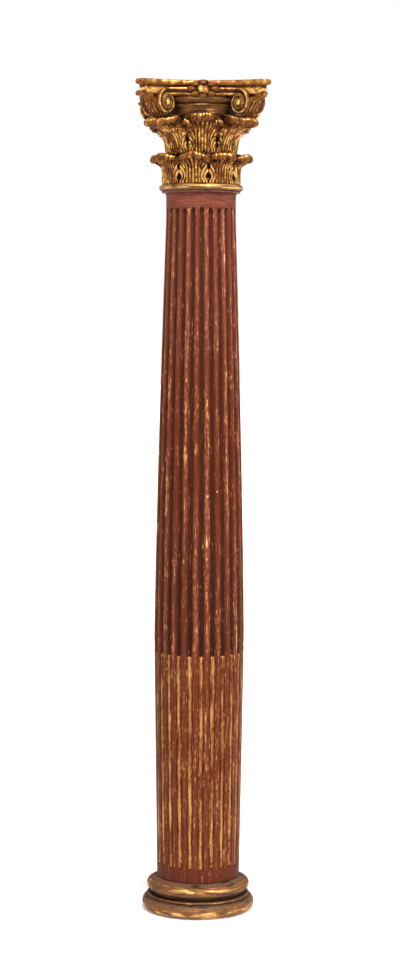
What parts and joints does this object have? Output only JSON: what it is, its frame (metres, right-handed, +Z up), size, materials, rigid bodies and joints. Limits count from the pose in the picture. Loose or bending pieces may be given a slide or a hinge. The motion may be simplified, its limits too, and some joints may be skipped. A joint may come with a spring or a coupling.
{
  "type": "gilded wooden column",
  "caption": "Round column of painted and gilded wood: turned base, fluted shaft cabled in its lower third, and a carved leaf capital with corner volutes under a hollow-sided abacus.",
  "frame": {"origin": "middle of the round underside of the base, on the floor", "axes": "+Z up along the column's axis, front towards -Y, one flower of the abacus on each of +X, -X, +Y and -Y"},
  "size_m": [0.3012, 0.3012, 1.9],
  "materials": {
    "gilded_wood": "water-gilt gold leaf over red clay on carved wood, worn and toned brown in the hollows",
    "red_painted_wood": "matt red-brown paint with traces of gilding on the flute edges and gilded cabling"
  },
  "bodies": {
    "root": {"base": "gilded_wood", "shaft": "red_painted_wood", "capital": "gilded_wood"}
  },
  "joints": []
}
